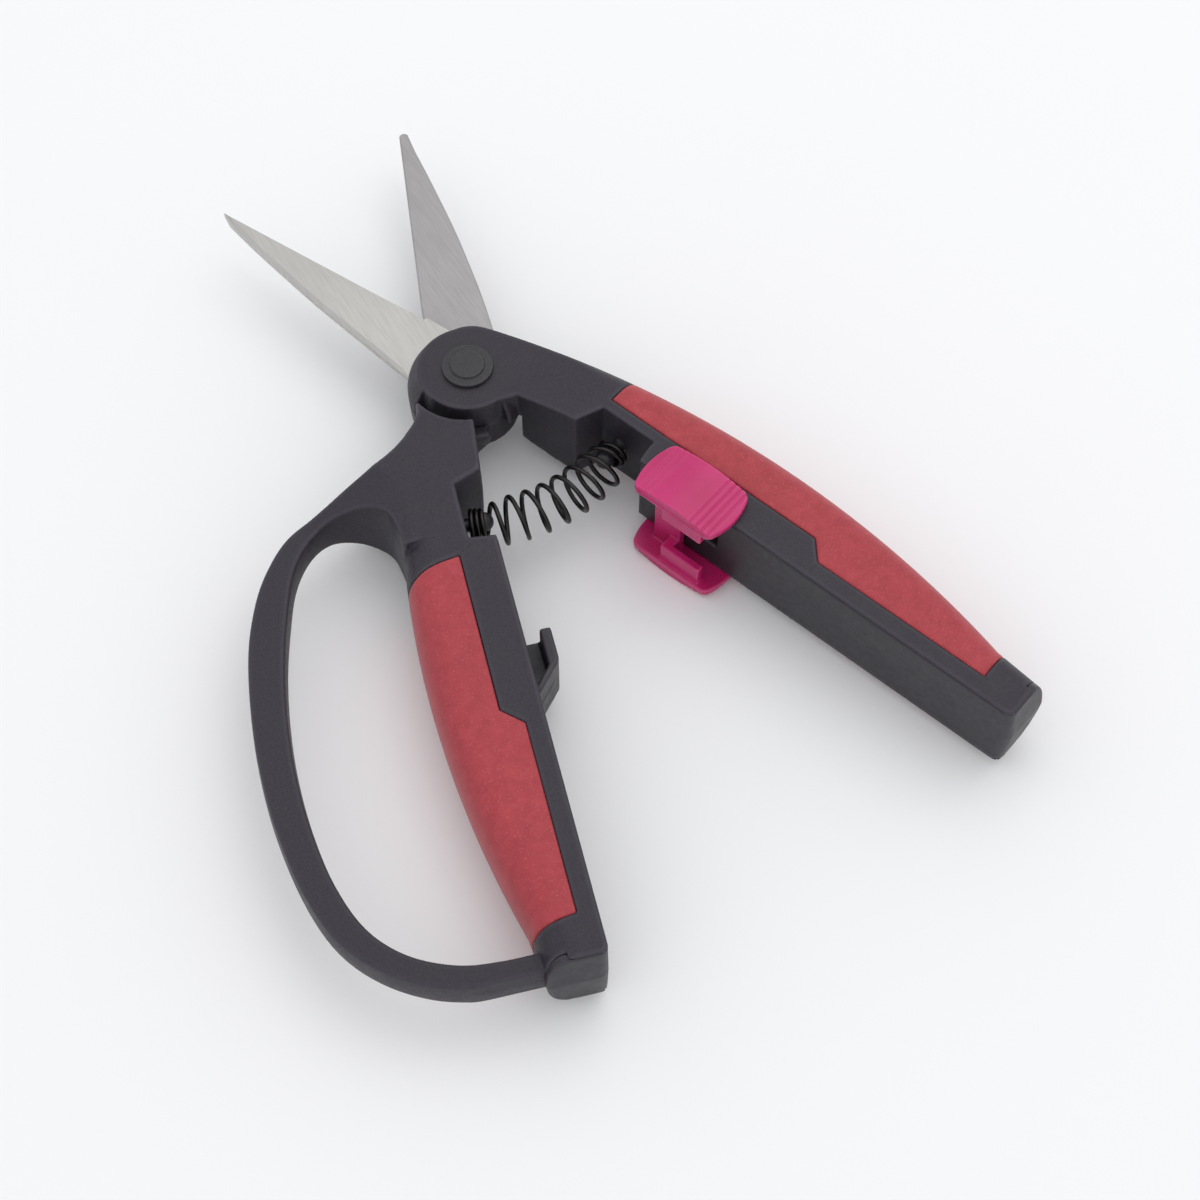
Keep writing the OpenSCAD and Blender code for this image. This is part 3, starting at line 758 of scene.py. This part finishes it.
def shell(name, field, low, high, step, side, body, stands_for, material):
    verts, faces = net(field, low, high, step)
    return piece(name, verts, faces, side, body, stands_for, material, sharp=0)


COARSE = 0.5
FINE = 0.25

shell("guard_handle_core_body", guard_core, (-15, -141, -11), (62, 15.5, 11), COARSE,
      "guard", "guard_handle", ["guard_handle_core"], core_plastic)
shell("plain_handle_core_body", plain_core, (-15, -141, -11), (28, 15.5, 11), COARSE,
      "plain", "plain_handle", ["plain_handle_core"], core_plastic)
shell("guard_handle_liner_panel", guard_liner, (-4, -143, -11), (20, -42, 11), COARSE * 0.8,
      "guard", "guard_handle", ["guard_handle_liner"], liner_plastic)
shell("plain_handle_liner_panel", plain_liner, (2, -143, -11), (20, -42, 11), COARSE * 0.8,
      "plain", "plain_handle", ["plain_handle_liner"], liner_plastic)
shell("guard_handle_grip_skin", guard_grip, (5, -136, -11), (26, -45, 11), COARSE * 0.8,
      "guard", "guard_handle", ["guard_handle_grip"], grip_rubber)
shell("plain_handle_grip_skin", plain_grip, (5, -133, -11), (26, -28, 11), COARSE * 0.8,
      "plain", "plain_handle", ["plain_handle_grip"], grip_rubber)
shell("lock_slide_shell", lock, (-5, -73, -14), (13, -45, 14), FINE,
      "plain", "lock_slide", ["lock_slide"], lock_magenta)

verts, faces = blade_mesh(UPPER_BLADE, upper_widths, 0.1, 1.9, 0.42)
piece("upper_blade_ground", verts, faces, "plain", "plain_handle",
      ["upper_blade"], upper_steel, sharp=8)
verts, faces = blade_mesh(LOWER_BLADE, lower_widths, -1.9, -0.1, 0.25)
piece("lower_blade_ground", verts, faces, "guard", "guard_handle",
      ["lower_blade"], lower_steel, sharp=8)

cap = rounded([(4.6, 6.0), (5.0, 6.0), (5.0, 7.2), (5.45, 7.25), (5.45, 8.1), (3.75, 8.1),
               (3.6, 8.7), (0.0, 8.7)], 0.28)
verts, faces = lathe(cap)
piece("pivot_cap_upper_button", verts, faces, "plain", "plain_handle",
      ["pivot_cap_upper"], cap_plastic, sharp=50)
verts, faces = lathe([(r, -h) for r, h in cap][::-1])
piece("pivot_cap_lower_button", verts, faces, "guard", "guard_handle",
      ["pivot_cap_lower"], cap_plastic, sharp=50)

BALL_R, BALL_X, POST_Y = 2.1, 4.5, -34.4
ball = [(BALL_R * math.sin(math.radians(a)), BALL_X - BALL_R * math.cos(math.radians(a)))
        for a in range(0, 140, 8)]
post = ball + rounded([ball[-1], (1.45, 6.4), (1.45, 9.0), (1.9, 9.3), (1.9, 11.7)], 0.3)[1:]
verts, faces = lathe(post + [(0, 11.7)], 40, "x")
verts = [(x, y + POST_Y, z) for x, y, z in verts]
for half in ("guard", "plain"):
    piece(f"{half}_spring_post_pin", verts, faces, half, f"{half}_handle",
          [f"{half}_spring_post"], post_plastic, sharp=50)

for node, material in (("lower_blade_pins", pin_steel), ("upper_blade_pins", pin_steel),
                       ("pivot_sleeve", pivot_steel), ("pivot_bolt", pivot_steel),
                       ("pivot_nut", pivot_steel), ("pivot_washer", washer_steel)):
    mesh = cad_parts[node].data
    mesh.materials.clear()
    mesh.materials.append(material)


# ---- Spring -------------------------------------------------------------------------

WIRE = 1.02
SPRING_R = 35.2         # of its centre line, about the pivot
END_COIL_R, FREE_COIL_R = 2.95, 4.74
GUARD_COILS, PLAIN_COILS, FREE_COILS = 2.6, 1.6, 7.9
CLOSE_PITCH = 1.12
END_ANGLE = 30.2
FIRST_TURN = 3.39       # where round its coil the wire starts, in radians


def spring_mesh():
    """Wire wound about an arc round the pivot, with close coils at each end."""
    length = math.radians(2 * END_ANGLE) * SPRING_R
    coils = GUARD_COILS + FREE_COILS + PLAIN_COILS
    pitch = (length - (GUARD_COILS + PLAIN_COILS) * CLOSE_PITCH) / FREE_COILS

    def run(t):
        if t < GUARD_COILS:
            return t * CLOSE_PITCH
        if t < coils - PLAIN_COILS:
            return GUARD_COILS * CLOSE_PITCH + (t - GUARD_COILS) * pitch
        return length - (coils - t) * CLOSE_PITCH

    def radius(s):
        left = ramp((s - GUARD_COILS * CLOSE_PITCH) / 4.0)
        right = ramp((length - s - PLAIN_COILS * CLOSE_PITCH) / 3.0)
        return END_COIL_R + (FREE_COIL_R - END_COIL_R) * min(left, right)

    per_turn, sides = ((36, 12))
    count = int(round(coils * per_turn))
    centre = []
    for i in range(count + 1):
        t = i / per_turn
        s = run(t)
        a = math.radians(-END_ANGLE) + s / SPRING_R
        r = radius(s)
        turn = FIRST_TURN - 2 * math.pi * t
        reach = SPRING_R + r * math.cos(turn)
        centre.append(Vector((reach * math.sin(a), -reach * math.cos(a), r * math.sin(turn))))
    verts, faces = [], []
    for i, c in enumerate(centre):
        along = (centre[min(i + 1, count)] - centre[max(i - 1, 0)]).normalized()
        side = along.cross(Vector((0, 0, 1))).normalized()
        other = along.cross(side)
        for k in range(sides):
            a = 2 * math.pi * k / sides
            verts.append(tuple(c + (side * math.cos(a) + other * math.sin(a)) * WIRE / 2))
    for i in range(count):
        for k in range(sides):
            m = (k + 1) % sides
            faces.append((i * sides + k, (i + 1) * sides + k, (i + 1) * sides + m, i * sides + m))
    faces.append(tuple(range(sides)))
    faces.append(tuple(range(count * sides, (count + 1) * sides))[::-1])
    return verts, faces


verts, faces = spring_mesh()
spring = piece("return_spring_coil", verts, faces, "middle", None,
               ["return_spring"], wire_steel, sharp=60)
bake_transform(spring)


# ---- Floor and light ----------------------------------------------------------------

floor_mesh = bpy.data.meshes.new("floor")
floor_mesh.from_pydata([(-4, -4, 0), (4, -4, 0), (4, 4, 0), (-4, 4, 0)], [], [(0, 1, 2, 3)])
floor = bpy.data.objects.new("floor", floor_mesh)
floor.location.z = -0.0002
bpy.context.scene.collection.objects.link(floor)
paper = Nodes("paper_floor")
paper.set(Base_Color=paper.mix(paper.noise(6, 2), (0.935, 0.935, 0.935), (0.95, 0.95, 0.95)),
          Roughness=0.75, Specular_IOR_Level=0.2)
floor_mesh.materials.append(paper.material)

world = bpy.data.worlds.new("sky")
bpy.context.scene.world = world
world.use_nodes = True
world.node_tree.nodes["Background"].inputs[0].default_value = (0.94, 0.95, 0.975, 1)
world.node_tree.nodes["Background"].inputs[1].default_value = 0.94


def softbox(name, place_at, look, width, height, power, colour=(1, 1, 1)):
    light = bpy.data.lights.new(name, "AREA")
    light.shape = "RECTANGLE"
    light.size, light.size_y, light.energy, light.color = width, height, power, colour
    obj = bpy.data.objects.new(name, light)
    obj.location = place_at
    obj.rotation_mode = "QUATERNION"
    obj.rotation_quaternion = (Vector(look) - Vector(place_at)).to_track_quat("-Z", "Y")
    bpy.context.scene.collection.objects.link(obj)


softbox("key", (0.6, 0.2, 1.4), (0, 0, 0), 1.2, 1.2, 3.6, (1.0, 0.99, 0.97))

bpy.context.scene.view_settings.view_transform = "Standard"
